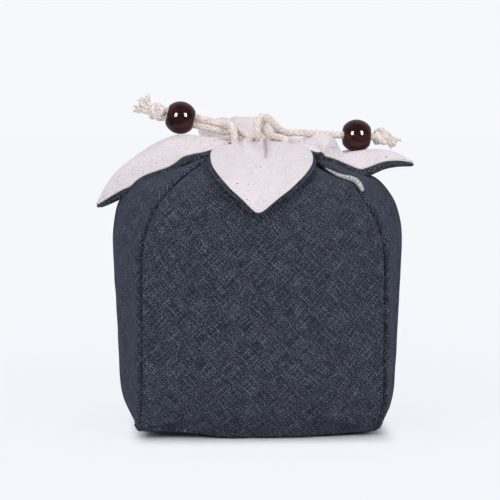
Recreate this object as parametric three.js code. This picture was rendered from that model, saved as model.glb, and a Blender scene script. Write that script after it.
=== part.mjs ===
// Padded drawstring pouch with four petal flaps, two drawcords and two wooden beads.
// Millimetres, +Z up, origin at the centre of the base on the floor, -Y is the front, +X the right.
import * as THREE from "three";
import { mergeVertices } from "three/addons/utils/BufferGeometryUtils.js";

// Body: four bulging panels that meet in upright corner seams.
const shoulderHeight = 106; // top of a side panel at its middle
const cornerDrop = 3; // how much lower the panel's top is at the corner seams
const seamHalf = 53.6; // from the centre to a corner seam, along X and along Y
const seamTopHalf = 44.8; // the same where the corner seam ends under the yokes
const seamDrawHeight = 70; // above this the corner seams lean inward
const middleHalf = 66.3; // from the centre to the middle of a panel at its widest
const widestHeight = 84;
const footHalf = 62; // the same just above the foot
const shoulderHalf = 61.5; // the same at the shoulder
const footHeight = 20; // height of the rounded foot
const footTuck = 6; // how far the middle of the panel's foot curls in
const seamFootTuck = 1.5; // the same at the corner seams

// Cloth layers, measured inward from the outer surface.
const outerCloth = 1.0;
const wadding = 2.7;
const liningCloth = 0.8;
const layerGap = 0.3;
const cornerGap = 0.3; // between neighbouring panels at the corner

// Yokes, from the shoulder up to the sleeves.
const yokeLift = 0.35; // clear space between the side panel's top and the yoke
const yokeSlit = 1.0; // half the slit between neighbouring yokes
const yokeCrown = 1.4; // how much the yoke swells above a straight line

// Drawcord sleeves round the mouth.
const sleeveAxisHalf = 13.5; // from the centre to a sleeve's axis
const sleeveAxisHeight = 125.7;
const sleeveHalfLength = 8.4;
const sleeveBore = 3.4; // radius
const sleeveCloth = 0.5; // thickness
const sleeveGap = 0.35; // between a sleeve and the cloth sewn to it

// Petals.
const petalRootLift = 1.8; // height of the root's lower edge above the sleeve's axis
const petalMaxHalf = 22.5; // half the width at the widest place
const petalRootHalf = 9.5;
const petalTipHalf = 0.8;
const petalWidestAt = 0.3; // share of the length
const petalCloth = 0.8; // each of the two layers

// Cords and beads.
const cordRadius = 1.55;
const cordGap = 0.2; // between two strands side by side
const beadRadius = 7.5;
const beadBore = 3.6; // radius
const knotRadius = 3.9;
const knotHalfLength = 3.4;
const tasselLength = 8;
const tasselStartRadius = 1.7;
const tasselEndRadius = 3.4;
const pieceGap = 0.3; // between pieces that touch along a cord
const cornerSag = 1.5; // how far a cord dips between two sleeves
const cornerStraight = 0.8; // straight stretch of that cord at either sleeve

// Where the tails lie, seen from the front: outward distance and height of the turning line near the mouth and
// of the knot, the bead's outward distance, the tassel's slope in degrees, and whether the two strands lie one
// above the other or side by side.
const tails = {
  left: { side: -1, root: [21, 135.76], knot: [45.7, 141.6], beadOut: 35, tasselSlope: 39, stacked: true },
  right: { side: 1, root: [21, 132.1], knot: [57.2, 130.1], beadOut: 46, tasselSlope: -42, stacked: false },
};

// Routes of the free strands from the end of a sleeve to the turning line, chosen by hand.
const strandRoutes = {
  left_cord_strand_1_inner: [[-9.7, -11.8, 125.9], [-10.6, -11.7, 127.2], [-10.7, -11.2, 129.5], [-10.9, -9.4, 132.5],
    [-11.7, -6.2, 135.1], [-12.9, -2.8, 136.1], [-16, -0.6, 136.3]],
  left_cord_strand_2_inner: [[-9.7, 11.8, 125.9], [-10.6, 11.7, 127.2], [-10.3, 10.9, 130.1], [-9, 7.6, 132.1], [-6.6, 3, 128.9],
    [-4.4, -1.5, 127], [-3.6, -5.6, 127.3], [-3.6, -8.3, 129.3], [-6.2, -6.2, 131.9], [-10.6, -2.4, 133.3],
    [-13.4, -0.6, 132.6]],
  right_cord_strand_1_inner: [[10, 15.1, 125.9], [11.6, 14.7, 126.9], [12.3, 13.6, 128.6], [11.2, 11.4, 130.7], [8.2, 6.2, 131.5],
    [5.6, 1.6, 128.3], [2.6, -4.4, 126.9], [0.6, -8.2, 128.6], [0, -9.9, 131.5], [-0.2, -9.3, 135.2],
    [0.5, -8.6, 138.5], [3, -7.8, 139.7], [6.4, -6.6, 137.5], [10, -4.4, 133.9], [13.6, -2.2, 132.3], [16.5, -1.7, 132.2]],
  right_cord_strand_2_inner: [[10, -15.1, 125.9], [11.6, -14.7, 126.9], [12.3, -13.6, 128.6], [11, -11.6, 129.9],
    [8.1, -9.5, 130.3], [4.6, -7.6, 132.1], [2.4, -5.2, 134.5], [2.4, -2.6, 137.3], [5, -0.6, 138.9],
    [7.4, 0.8, 136.9], [10, 1.6, 133.9], [13.4, 1.8, 132.3], [16.5, 1.7, 132.2]],
};

// Petal centre lines, outward distance and height, from root to tip, with the lobes' rise and the edges' droop.
const petalShapes = {
  front: { line: [[25, 126.2], [38, 122], [50, 117.4], [60.5, 112.4], [66.8, 105.6], [69.4, 98]],
    lobe: 1.2, droop: 2.4 },
  left: { line: [[24, 129], [36, 130.9], [45, 128.6], [55, 122.8], [65, 115], [74.2, 99.3]],
    lobe: 1.6, droop: 8.5 },
  right: { line: [[22, 127.6], [30, 125.4], [38, 123], [46, 122.1], [56, 123.4], [64, 122.2], [72.6, 118.8]],
    lobe: 4.6, droop: 4.6 },
  back: { line: [[24, 129.8], [28.6, 134], [33.6, 134.6], [41, 130.4], [51, 122], [60.5, 113.6], [66.8, 105.6], [69.4, 98]],
    lobe: 0.8, droop: 3.2 },
};

// Mesh density.
const panelAcross = 8;
const panelUp = 9;
const yokeAcross = 6;
const yokeUp = 4;
const petalAcross = 8;
const petalAlong = 8;
const cordSides = 8;
const sleeveSides = 14;
const beadSides = 20;
const knotSides = 10;

const clothColour = { color: 0x393d49, roughness: 0.95, metalness: 0 };
const liningColour = { color: 0xebe2e5, roughness: 0.95, metalness: 0 };
const waddingColour = { color: 0xf2f0ec, roughness: 1, metalness: 0 };
const cordColour = { color: 0xe9dfdd, roughness: 0.9, metalness: 0 };
const beadColour = { color: 0x2d1412, roughness: 0.15, metalness: 0 };

// Quarter turns about Z that carry the front side onto each of the four sides.
const sides = { front: 0, right: 1, back: 2, left: 3 };

const bag = new THREE.Group();

function addMesh(name, geometry, look, parent = bag) {
  const mesh = new THREE.Mesh(geometry, new THREE.MeshStandardMaterial(look));
  mesh.name = name;
  parent.add(mesh);
  return mesh;
}

// A group turned so that its own front, -Y, faces the given side.
function sideGroup(side) {
  const group = new THREE.Group();
  group.rotation.z = (sides[side] * Math.PI) / 2;
  bag.add(group);
  return group;
}

// A closed solid between two sheets: sheet(i, j, 0) is the outer one and sheet(i, j, 1) the inner one.
function slab(across, along, sheet) {
  const positions = [];
  const index = [];
  const at = (i, j, k) => (k * (along + 1) + j) * (across + 1) + i;
  for (let k = 0; k < 2; k++) {
    for (let j = 0; j <= along; j++) {
      for (let i = 0; i <= across; i++) {
        positions.push(...sheet(i / across, j / along, k));
      }
    }
  }
  const quad = (a, b, c, d) => index.push(a, b, c, a, c, d);
  for (let j = 0; j < along; j++) {
    for (let i = 0; i < across; i++) {
      quad(at(i, j, 0), at(i + 1, j, 0), at(i + 1, j + 1, 0), at(i, j + 1, 0));
      quad(at(i, j, 1), at(i, j + 1, 1), at(i + 1, j + 1, 1), at(i + 1, j, 1));
    }
    quad(at(0, j, 1), at(0, j, 0), at(0, j + 1, 0), at(0, j + 1, 1));
    quad(at(across, j, 0), at(across, j, 1), at(across, j + 1, 1), at(across, j + 1, 0));
  }
  for (let i = 0; i < across; i++) {
    quad(at(i, 0, 1), at(i + 1, 0, 1), at(i + 1, 0, 0), at(i, 0, 0));
    quad(at(i, along, 0), at(i + 1, along, 0), at(i + 1, along, 1), at(i, along, 1));
  }
  const geometry = new THREE.BufferGeometry();
  geometry.setAttribute("position", new THREE.Float32BufferAttribute(positions, 3));
  geometry.setIndex(index);
  return geometry;
}

// A round tube along points, with flat ends.
function tube(points, radius, steps) {
  const circle = new THREE.Shape();
  for (let i = 0; i < cordSides; i++) {
    const turn = (2 * Math.PI * i) / cordSides;
    const corner = [radius * Math.cos(turn), radius * Math.sin(turn)];
    if (i === 0) circle.moveTo(...corner);
    else circle.lineTo(...corner);
  }
  const curve = points.length === 2
    ? new THREE.LineCurve3(...points)
    : new THREE.CatmullRomCurve3(points, false, "centripetal");
  const raw = new THREE.ExtrudeGeometry(circle, { steps, extrudePath: curve, bevelEnabled: false });
  raw.deleteAttribute("normal");
  raw.deleteAttribute("uv");
  return mergeVertices(raw, 1e-4);
}

const point = (x, y, z) => new THREE.Vector3(x, y, z);

// Half-width of the body at the corner seams and at the middle of a panel. Below the first row of faces the
// foot is straight, so that all layers share its slope.
const firstRow = footHeight / 2;

function footTuckAt(z) {
  const tuck = (height) => Math.max(0, 1 - height / footHeight) ** 2;
  return z < firstRow ? tuck(0) + ((tuck(firstRow) - tuck(0)) * z) / firstRow : tuck(z);
}

function seamAt(z) {
  const lean = Math.max(0, z - seamDrawHeight) / (shoulderHeight - cornerDrop - seamDrawHeight);
  return seamHalf - seamFootTuck * footTuckAt(z) - (seamHalf - seamTopHalf) * lean ** 4;
}

function middleAt(z) {
  if (z < widestHeight) {
    const below = (widestHeight - z) / widestHeight;
    return middleHalf - (middleHalf - footHalf) * below - footTuck * footTuckAt(z);
  }
  const above = (z - widestHeight) / (shoulderHeight - widestHeight);
  return middleHalf - (middleHalf - shoulderHalf) * above ** 2;
}

// Outward distance of the body's surface; u runs from -1 to 1 between the corner seams.
function bodyAt(u, z) {
  const seam = seamAt(z);
  return seam + (middleAt(z) - seam) * (1 - u * u);
}

const panelTop = (u) => shoulderHeight - cornerDrop * u * u;

// Layers: depth of the outer face, thickness.
const layers = {
  outer: { depth: 0, thick: outerCloth, look: clothColour },
  padding: { depth: outerCloth + layerGap, thick: wadding, look: waddingColour },
  lining: { depth: outerCloth + wadding + 2 * layerGap, thick: liningCloth, look: liningColour },
};

// A panel's rows: its own lowest edge, the first row of the foot, then even steps to the shoulder.
function rowHeight(u, row, low) {
  if (row === 0) return low;
  if (row === 1) return firstRow;
  return footHeight + ((panelTop(u) - footHeight) * (row - 2)) / (panelUp - 2);
}

function sidePanel({ depth, thick }) {
  return slab(panelAcross, panelUp, (i, j, k) => {
    const u = 2 * i - 1;
    const z = rowHeight(u, Math.round(j * panelUp), depth);
    const inward = depth + k * thick;
    const across = u * (seamAt(z) - inward - cornerGap);
    return [across, inward - bodyAt(u, z), z];
  });
}

// A base layer lies inside the feet of the panels of the same layer.
function basePanel({ depth, thick }) {
  const ring = [];
  for (const turn of Object.values(sides)) {
    for (let i = 0; i < panelAcross; i++) {
      const u = (2 * i) / panelAcross - 1;
      const inset = depth + thick + layerGap;
      const out = bodyAt(u, depth) - inset;
      const corner = point(u * (seamAt(depth) - inset), -out, 0);
      ring.push(corner.applyAxisAngle(point(0, 0, 1), (turn * Math.PI) / 2));
    }
  }
  const outline = new THREE.Shape(ring.map((p) => new THREE.Vector2(p.x, p.y)));
  const geometry = new THREE.ExtrudeGeometry(outline, { depth: thick, bevelEnabled: false });
  geometry.translate(0, 0, depth);
  geometry.deleteAttribute("normal");
  geometry.deleteAttribute("uv");
  return mergeVertices(geometry, 1e-4);
}

// Yoke: from the shoulder to the sleeve, its side edges along the slits.
const yokeTopOut = sleeveAxisHalf + sleeveBore + sleeveCloth + sleeveGap;
const yokeThick = outerCloth + layerGap + liningCloth;

function yokePanel(depth, thick) {
  return slab(yokeAcross, yokeUp, (i, j, k) => {
    const u = 2 * i - 1;
    const bottom = seamTopHalf + (shoulderHalf - seamTopHalf) * (1 - u * u);
    const out = bottom + (yokeTopOut - bottom) * j;
    const corner = seamTopHalf + (yokeTopOut - seamTopHalf) * j;
    const half = corner - yokeSlit - (yokeTopOut - yokeSlit - sleeveHalfLength) * j ** 3;
    const low = panelTop(u) + yokeLift + yokeThick;
    const z = low + (sleeveAxisHeight - low) * j + yokeCrown * Math.sin(Math.PI * j);
    return [u * half, -out, z - depth - k * thick];
  });
}

function sleeve() {
  const wall = sleeveBore + sleeveCloth;
  const profile = [
    [sleeveBore, -sleeveHalfLength],
    [wall, -sleeveHalfLength],
    [wall, sleeveHalfLength],
    [sleeveBore, sleeveHalfLength],
    [sleeveBore, -sleeveHalfLength],
  ].map(([r, h]) => new THREE.Vector2(r, h));
  const geometry = new THREE.LatheGeometry(profile, sleeveSides);
  geometry.rotateZ(-Math.PI / 2);
  geometry.translate(0, -sleeveAxisHalf, sleeveAxisHeight);
  return cleaned(geometry);
}

function cleaned(geometry) {
  geometry.deleteAttribute("normal");
  geometry.deleteAttribute("uv");
  return mergeVertices(geometry, 1e-4);
}

// Petal half-width along its length.
const petalThick = 2 * petalCloth + layerGap;

function petalHalf(along) {
  if (along < petalWidestAt) {
    const grow = Math.sin((Math.PI / 2) * (along / petalWidestAt));
    return petalRootHalf + (petalMaxHalf - petalRootHalf) * grow;
  }
  const shrink = Math.cos((Math.PI / 2) * ((along - petalWidestAt) / (1 - petalWidestAt))) ** 0.8;
  return petalTipHalf + (petalMaxHalf - petalTipHalf) * shrink;
}

// Start of a petal's centre line: its lower edge lies a sleeve gap off the sleeve, and its cut end is square
// to the way towards the next point.
function petalRoot([out, z]) {
  const clear = sleeveBore + sleeveCloth + sleeveGap;
  const lowOut = sleeveAxisHalf + Math.sqrt(clear ** 2 - petalRootLift ** 2);
  const lowZ = sleeveAxisHeight + petalRootLift;
  const reach = Math.hypot(out - lowOut, z - lowZ);
  const slope = Math.atan2(z - lowZ, out - lowOut) - Math.asin(petalThick / reach);
  return [lowOut - petalThick * Math.sin(slope), lowZ + petalThick * Math.cos(slope)];
}

function petalLayer(shape, depth, thick) {
  const rootPoint = petalRoot(shape.line[0]);
  const line = new THREE.CatmullRomCurve3(
    [rootPoint, ...shape.line].map(([out, z]) => point(0, -out, z)), false, "centripetal");
  return slab(petalAcross, petalAlong, (i, j, k) => {
    const u = 1 - 2 * i;
    const centre = line.getPointAt(j);
    const ahead = line.getTangentAt(j);
    const up = point(0, ahead.z, -ahead.y).normalize();
    const swell = Math.sin(Math.PI * j);
    const lift = (shape.lobe * Math.sin(Math.PI * u) ** 2 - shape.droop * u * u) * swell;
    const offset = lift - depth - k * thick;
    return [u * petalHalf(j), centre.y + up.y * offset, centre.z + up.z * offset];
  });
}

// The four sides: panels, yokes, sleeves and petals.
for (const side of Object.keys(sides)) {
  const group = sideGroup(side);
  for (const [layer, what] of Object.entries(layers)) {
    addMesh(layer + "_" + side, sidePanel(what), what.look, group);
  }
  addMesh("yoke_" + side + "_outer", yokePanel(0, outerCloth), clothColour, group);
  addMesh("yoke_" + side + "_lining", yokePanel(outerCloth + layerGap, liningCloth), liningColour, group);
  addMesh("sleeve_" + side, sleeve(), clothColour, group);
  const shape = petalShapes[side];
  addMesh("petal_" + side + "_lining", petalLayer(shape, 0, petalCloth), liningColour, group);
  addMesh("petal_" + side + "_outer", petalLayer(shape, petalCloth + layerGap, petalCloth), clothColour, group);
}
for (const [layer, what] of Object.entries(layers)) {
  addMesh(layer + "_base", basePanel(what), what.look);
}

// Runs of cord inside the sleeves: the left cord passes the front, right and back sleeves, the right cord the
// front, left and back ones. Where both pass, the left cord lies nearer the mouth.
const cordStep = cordRadius + cordGap / 2;
const cordRuns = {
  left_cord_front_run: ["front", -cordStep],
  left_cord_right_run: ["right", 0],
  left_cord_back_run: ["back", -cordStep],
  right_cord_front_run: ["front", cordStep],
  right_cord_left_run: ["left", 0],
  right_cord_back_run: ["back", cordStep],
};
for (const [name, [side, outward]] of Object.entries(cordRuns)) {
  const end = (sign) => point(sign * sleeveHalfLength, -sleeveAxisHalf - outward, sleeveAxisHeight);
  addMesh(name, tube([end(-1), end(1)], cordRadius, 1), cordColour, sideGroup(side));
}

// Cord between two sleeves, round the outside of a corner of the mouth.
const runEnd = sleeveHalfLength + pieceGap;
const bendStart = runEnd + cornerStraight;
function cornerBit(signX, signY, outward) {
  const steps = 4;
  const points = [point(signX * runEnd, signY * (sleeveAxisHalf + outward), sleeveAxisHeight)];
  for (let i = 0; i <= steps; i++) {
    const turn = (Math.PI / 2) * (i / steps);
    points.push(point(
      signX * (bendStart + (sleeveAxisHalf - bendStart) * Math.sin(turn)),
      signY * (bendStart + (sleeveAxisHalf + outward - bendStart) * Math.cos(turn)),
      sleeveAxisHeight - cornerSag * Math.sin(2 * turn) ** 2,
    ));
  }
  points.push(point(signX * sleeveAxisHalf, signY * runEnd, sleeveAxisHeight));
  return tube(points, cordRadius, 2 * steps);
}
const cordCorners = {
  left_cord_corner_front: [1, -1, -cordStep],
  left_cord_corner_back: [1, 1, -cordStep],
  right_cord_corner_front: [-1, -1, cordStep],
  right_cord_corner_back: [-1, 1, cordStep],
};
for (const [name, [signX, signY, outward]] of Object.entries(cordCorners)) {
  addMesh(name, cornerBit(signX, signY, outward), cordColour);
}

// A tail's own directions: outward along it, up across it, and a point on it.
function tailLine({ side, root, knot }) {
  const start = point(side * root[0], 0, root[1]);
  const end = point(side * knot[0], 0, knot[1]);
  const ahead = end.clone().sub(start).normalize();
  const up = point(-side * ahead.z, 0, side * ahead.x);
  const at = (along) => start.clone().addScaledVector(ahead, along);
  return { start, ahead, up, at, length: end.distanceTo(start) };
}

// A solid of revolution about Z, moved to a place with its axis along a direction.
function turned(profile, sections, place, ahead) {
  const geometry = new THREE.LatheGeometry(profile.map(([r, h]) => new THREE.Vector2(r, h)), sections);
  geometry.applyQuaternion(new THREE.Quaternion().setFromUnitVectors(point(0, 1, 0), ahead));
  geometry.translate(place.x, place.y, place.z);
  return cleaned(geometry);
}

function bead(place, ahead) {
  const steps = 10;
  const rim = Math.asin(beadBore / beadRadius);
  const profile = [];
  for (let i = 0; i <= steps; i++) {
    const turn = rim + ((Math.PI - 2 * rim) * i) / steps;
    profile.push([beadRadius * Math.sin(turn), -beadRadius * Math.cos(turn)]);
  }
  profile.push(profile[0]);
  return turned(profile, beadSides, place, ahead);
}

function knotSolid(place, ahead) {
  const profile = [
    [0, -1],
    [0.6, -1],
    [1, -0.35],
    [1, 0.35],
    [0.6, 1],
    [0, 1],
  ].map(([r, h]) => [r * knotRadius, h * knotHalfLength]);
  return turned(profile, knotSides, place, ahead);
}

function tassel(place, ahead) {
  const profile = [
    [0, 0],
    [tasselStartRadius, 0],
    [tasselEndRadius, tasselLength],
    [0, tasselLength],
  ];
  return turned(profile, knotSides, place, ahead);
}

// Free strands: the inner stretch keeps to the mouth, the tail turns with the flap that it lies on.
for (const [name, tail] of Object.entries(tails)) {
  const line = tailLine(tail);
  [1, -1].forEach((sign, number) => {
    const strand = name + "_cord_strand_" + (number + 1);
    const apart = tail.stacked ? line.up.clone() : point(0, -1, 0);
    const beside = (along) => line.at(along).addScaledVector(apart, sign * cordStep);
    const last = line.length - knotHalfLength - pieceGap;
    addMesh(strand + "_tail", tube([beside(pieceGap / 2), beside(last)], cordRadius, 5), cordColour);
    const route = strandRoutes[strand + "_inner"].map((p) => point(...p));
    const isFront = route[0].y < 0;
    const outward = name === "left" ? -cordStep : cordStep;
    const exit = point(
      tail.side * runEnd,
      (isFront ? -1 : 1) * (sleeveAxisHalf + outward),
      sleeveAxisHeight,
    );
    const path = [exit, ...route, beside(-cordRadius), beside(-pieceGap / 2)];
    addMesh(strand + "_inner", tube(path, cordRadius, 3 * path.length), cordColour);
  });
  const beadAlong = (tail.beadOut - tail.root[0]) / Math.abs(line.ahead.x);
  addMesh(name + "_cord_bead", bead(line.at(beadAlong), line.ahead), beadColour);
  addMesh(name + "_cord_knot", knotSolid(line.at(line.length), line.ahead), cordColour);
  const slope = THREE.MathUtils.degToRad(tail.tasselSlope);
  const tasselAhead = point(tail.side * Math.cos(slope), 0, Math.sin(slope));
  const tilt = line.ahead.angleTo(tasselAhead);
  const tasselStart = line.at(line.length + knotHalfLength + pieceGap + tasselStartRadius * Math.sin(tilt));
  addMesh(name + "_cord_tassel", tassel(tasselStart, tasselAhead), cordColour);
}

export default bag;
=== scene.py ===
import math
import bpy
import numpy as np
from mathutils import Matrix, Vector, bvhtree, noise


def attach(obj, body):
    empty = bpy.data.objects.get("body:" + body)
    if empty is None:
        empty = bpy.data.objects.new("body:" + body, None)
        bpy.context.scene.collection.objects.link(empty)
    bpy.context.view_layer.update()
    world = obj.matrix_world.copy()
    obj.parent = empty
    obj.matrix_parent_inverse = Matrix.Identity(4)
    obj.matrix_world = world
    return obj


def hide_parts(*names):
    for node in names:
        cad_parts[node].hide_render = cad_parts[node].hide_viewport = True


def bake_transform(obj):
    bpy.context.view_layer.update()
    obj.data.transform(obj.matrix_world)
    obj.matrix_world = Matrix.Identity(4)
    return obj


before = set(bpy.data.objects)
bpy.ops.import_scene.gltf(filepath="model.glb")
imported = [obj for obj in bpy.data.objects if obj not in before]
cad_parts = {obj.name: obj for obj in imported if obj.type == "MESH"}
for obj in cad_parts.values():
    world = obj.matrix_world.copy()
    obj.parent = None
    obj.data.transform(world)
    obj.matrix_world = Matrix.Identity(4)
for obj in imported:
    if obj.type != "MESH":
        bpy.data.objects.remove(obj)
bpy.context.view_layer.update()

# Camera
# A long lens a little under a metre away looks at the front, slightly from the left and from above,
# as in the photograph.
camera_data = bpy.data.cameras.new("camera")
camera_data.sensor_width = 36
camera_data.lens = 145.3
camera = bpy.data.objects.new("camera", camera_data)
bpy.context.scene.collection.objects.link(camera)
bpy.context.scene.camera = camera
camera_azimuth = math.radians(-3)
camera_elevation = math.radians(4.5)
towards_camera = Vector((
    math.sin(camera_azimuth) * math.cos(camera_elevation),
    -math.cos(camera_azimuth) * math.cos(camera_elevation),
    math.sin(camera_elevation),
))
camera.location = Vector((-0.0031, 0, 0.0782)) + towards_camera * 0.93
camera.rotation_euler = (-towards_camera).to_track_quat("-Z", "Y").to_euler()

# Drawcords
# Two soft cotton cords, each an eight-strand plait 3.1 mm thick. Both run through the sleeves round the
# mouth, cross in the mouth and leave it as two strands to one side.


def shader_node(tree, kind, inputs=(), **settings):
    """A new shader node. Each input is given by name or number, as a value or as another node's output."""
    made = tree.nodes.new("ShaderNode" + kind)
    for name, value in settings.items():
        setattr(made, name, value)
    for socket, value in dict(inputs).items():
        if isinstance(value, bpy.types.NodeSocket):
            tree.links.new(value, made.inputs[socket])
        else:
            made.inputs[socket].default_value = value
    return made


def math_of(tree, operation, first, second=0.0, third=0.0):
    """The result of a sum on up to three numbers or outputs. MULTIPLY_ADD is first * second + third."""
    return shader_node(tree, "Math", {0: first, 1: second, 2: third}, operation=operation).outputs[0]


def new_material(name, roughness):
    material = bpy.data.materials.new(name)
    material.use_nodes = True
    shader = material.node_tree.nodes["Principled BSDF"]
    shader.inputs["Roughness"].default_value = roughness
    return material, material.node_tree, shader


def sized_coordinates(tree):
    """The piece's own length and width in metres, which its mesh carries as a UV map."""
    return shader_node(tree, "UVMap", uv_map="cloth").outputs["UV"]


def noise_of(tree, place, scale, detail, roughness=0.5):
    """A noise texture's share, from 0 to 1, at a place."""
    return shader_node(tree, "TexNoise", {
        "Vector": place, "Scale": scale, "Detail": detail, "Roughness": roughness}).outputs["Fac"]


def paint(tree, shader, share, stops):
    """Colours a surface. Each stop is a share, from 0 to 1, and the colour that it gives."""
    ramp = shader_node(tree, "ValToRGB", {"Fac": share})
    while len(ramp.color_ramp.elements) < len(stops):
        ramp.color_ramp.elements.new(0.5)
    for element, (place, colour) in zip(ramp.color_ramp.elements, stops):
        element.position = place
        element.color = (*colour, 1)
    tree.links.new(ramp.outputs["Color"], shader.inputs["Base Color"])


def roughen(tree, shader, height, strength, depth):
    """Fine unevenness of a surface, too small for its mesh."""
    bump = shader_node(tree, "Bump", {"Strength": strength, "Distance": depth, "Height": height})
    tree.links.new(bump.outputs["Normal"], shader.inputs["Normal"])


def add_piece(name, vertices, faces, corner_places, material):
    """A smooth mesh object. corner_places gives each face corner its place on the cloth, in metres."""
    mesh = bpy.data.meshes.new(name)
    mesh.from_pydata([tuple(v) for v in vertices], [], [tuple(f) for f in faces])
    layer = mesh.uv_layers.new(name="cloth")
    layer.data.foreach_set("uv", np.asarray(corner_places, np.float32).ravel())
    mesh.polygons.foreach_set("use_smooth", [True] * len(mesh.polygons))
    mesh.materials.append(material)
    piece = bpy.data.objects.new(name, mesh)
    bpy.context.scene.collection.objects.link(piece)
    return piece


def unit(vectors):
    """The vectors' directions, each made one long."""
    return vectors / np.maximum(np.linalg.norm(vectors, axis=-1, keepdims=True), 1e-12)


def even_points(line, count):
    """The line's points, moved along it so that they are evenly spaced."""
    line = np.asarray(line, float)
    steps = np.linalg.norm(np.diff(line, axis=0), axis=1)
    place = np.concatenate([[0], np.cumsum(steps)])
    wanted = np.linspace(0, place[-1], count)
    return np.stack([np.interp(wanted, place, line[:, k]) for k in range(3)], axis=1)


def smooth_line(points, spacing=None, count=None):
    """Even points on a smooth curve through the given ones."""
    points = [np.array(p, float) for p in points]
    guides = [2 * points[0] - points[1], *points, 2 * points[-1] - points[-2]]
    fine = []
    for p0, p1, p2, p3 in zip(guides, guides[1:], guides[2:], guides[3:]):
        d0, d1, d2 = (math.sqrt(np.linalg.norm(b - a)) for a, b in ((p0, p1), (p1, p2), (p2, p3)))
        leave = ((p1 - p0) / d0 - (p2 - p0) / (d0 + d1) + (p2 - p1) / d1) * d1
        enter = ((p2 - p1) / d1 - (p3 - p1) / (d1 + d2) + (p3 - p2) / d2) * d1
        for t in np.linspace(0, 1, 40, endpoint=False):
            bend = (2 * p1 - 2 * p2 + leave + enter) * t + (3 * p2 - 3 * p1 - 2 * leave - enter)
            fine.append((bend * t + leave) * t + p1)
    fine.append(points[-1])
    length = np.linalg.norm(np.diff(fine, axis=0), axis=1).sum()
    return even_points(fine, count or round(length / spacing) + 1)


def frames_along(line):
    """Two directions across the line at each of its points, which don't twist about it."""
    ahead = unit(np.gradient(line, axis=0))
    side = np.cross(ahead[0], (0.3, 0.2, 0.9))
    sides = []
    for direction in ahead:
        side = unit(side - direction * side.dot(direction))
        sides.append(side)
    return np.array(sides), np.cross(ahead, np.array(sides))


def tube_sides(start, rings, around):
    """The quads between a tube's rings of points, and each of their corners' steps round and along it."""
    faces = []
    steps = []
    for ring in range(rings - 1):
        near = start + ring * around
        far = near + around
        for i in range(around):
            k = (i + 1) % around
            faces.append((near + i, near + k, far + k, far + i))
            steps += [(i, ring), (i + 1, ring), (i + 1, ring + 1), (i, ring + 1)]
    return faces, steps


cord_diameter = 0.0031
plait_diameter = 0.0036  # over the crowns of the plait
cord_ring_spacing = 0.0004
cord_ring_points = 32
plait_length = 0.0098


def plaited_cord(name, line, material, first=0, last=None, diameter=plait_diameter):
    """The stretch of a plaited cord between two of its line's points."""
    last = len(line) - 1 if last is None else last
    sides, ups = frames_along(line)
    turn = np.linspace(0, 2 * math.pi, cord_ring_points, endpoint=False)[None, :]
    along = np.arange(len(line))[:, None] * cord_ring_spacing
    twist = 2 * math.pi * along / plait_length
    left_over_right = np.cos(4 * turn)
    one_way = np.cos(2 * (turn - twist)) ** 2 * (0.6 + 0.4 * left_over_right)
    other_way = np.cos(2 * (turn + twist)) ** 2 * (0.6 - 0.4 * left_over_right)
    height = np.maximum(one_way, other_way) ** 0.7
    radius = diameter / 2 * (0.71 + 0.29 * height)
    rings = (
        line[:, None, :]
        + sides[:, None, :] * (np.cos(turn) * radius)[:, :, None]
        + ups[:, None, :] * (np.sin(turn) * radius)[:, :, None]
    )[first:last + 1]
    count, around = rings.shape[:2]
    faces, steps = tube_sides(0, count, around)
    places = [(a / around * math.pi * diameter, (first + b) * cord_ring_spacing) for a, b in steps]
    for ring, order in ((0, -1), (count - 1, 1)):
        faces.append([ring * around + i for i in range(around)][::order])
        places += [(0, (first + ring) * cord_ring_spacing)] * around
    return add_piece(name, rings.reshape(-1, 3), faces, places, material)


cotton, tree, shader = new_material("cotton_cord", 0.9)
place = sized_coordinates(tree)
fibres = noise_of(tree, place, 2600.0, 3.0, 0.6)
patches = noise_of(tree, place, 240.0, 2.0)
mixed = math_of(tree, "MULTIPLY_ADD", fibres, 0.55, math_of(tree, "MULTIPLY", patches, 0.45))
parts = shader_node(tree, "SeparateXYZ", {0: place})
turn = math_of(tree, "MULTIPLY", parts.outputs[0], 4 / plait_diameter)
twist = math_of(tree, "MULTIPLY", parts.outputs[1], 4 * math.pi / plait_length)
left_over_right = math_of(tree, "COSINE", math_of(tree, "MULTIPLY", turn, 2.0))
# The plait's crowns are painted lighter and the grooves between its strands darker: painted shade between the
# strands, on top of the mesh's own relief. The fibres and patches are the cotton's own uneven tone.
groove_shade_parts = []
for operation, over in (("SUBTRACT", 0.4), ("ADD", -0.4)):
    way = math_of(tree, "COSINE", math_of(tree, operation, turn, twist))
    groove_shade_parts.append(math_of(tree, "MULTIPLY", math_of(tree, "MULTIPLY", way, way), math_of(
        tree, "MULTIPLY_ADD", left_over_right, over, 0.6)))
painted_groove_shade = math_of(tree, "MAXIMUM", *groove_shade_parts)
mixed = math_of(tree, "ADD", mixed, math_of(tree, "MULTIPLY_ADD", painted_groove_shade, 0.4, -0.2))
paint(tree, shader, mixed, [
    (0.3, (0.68, 0.56, 0.49)), (0.48, (0.83, 0.73, 0.67)), (0.72, (0.93, 0.87, 0.83))])
roughen(tree, shader, fibres, 0.5, 0.00012)
shader.inputs["Specular IOR Level"].default_value = 0.1
shader.inputs["Sheen Weight"].default_value = 0.2
shader.inputs["Sheen Roughness"].default_value = 0.6

sleeve_axis_out = 0.0135
sleeve_axis_height = 0.1257
sleeve_half_length = 0.0084
strand_step = 0.00165  # from the middle between two strands that lie side by side to each of them
run_half_length = sleeve_half_length + 0.0002
corner_start = sleeve_half_length + 0.0003
quarter_turns = {"front": 0, "right": 1, "back": 2, "left": 3}


def turned_to(side, points):
    """Points of the front side, turned about the upright axis onto another side."""
    angle = quarter_turns[side] * math.pi / 2
    c, s = round(math.cos(angle)), round(math.sin(angle))
    return np.asarray(points, float) @ np.array(((c, s, 0), (-s, c, 0), (0, 0, 1)), float)


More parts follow.
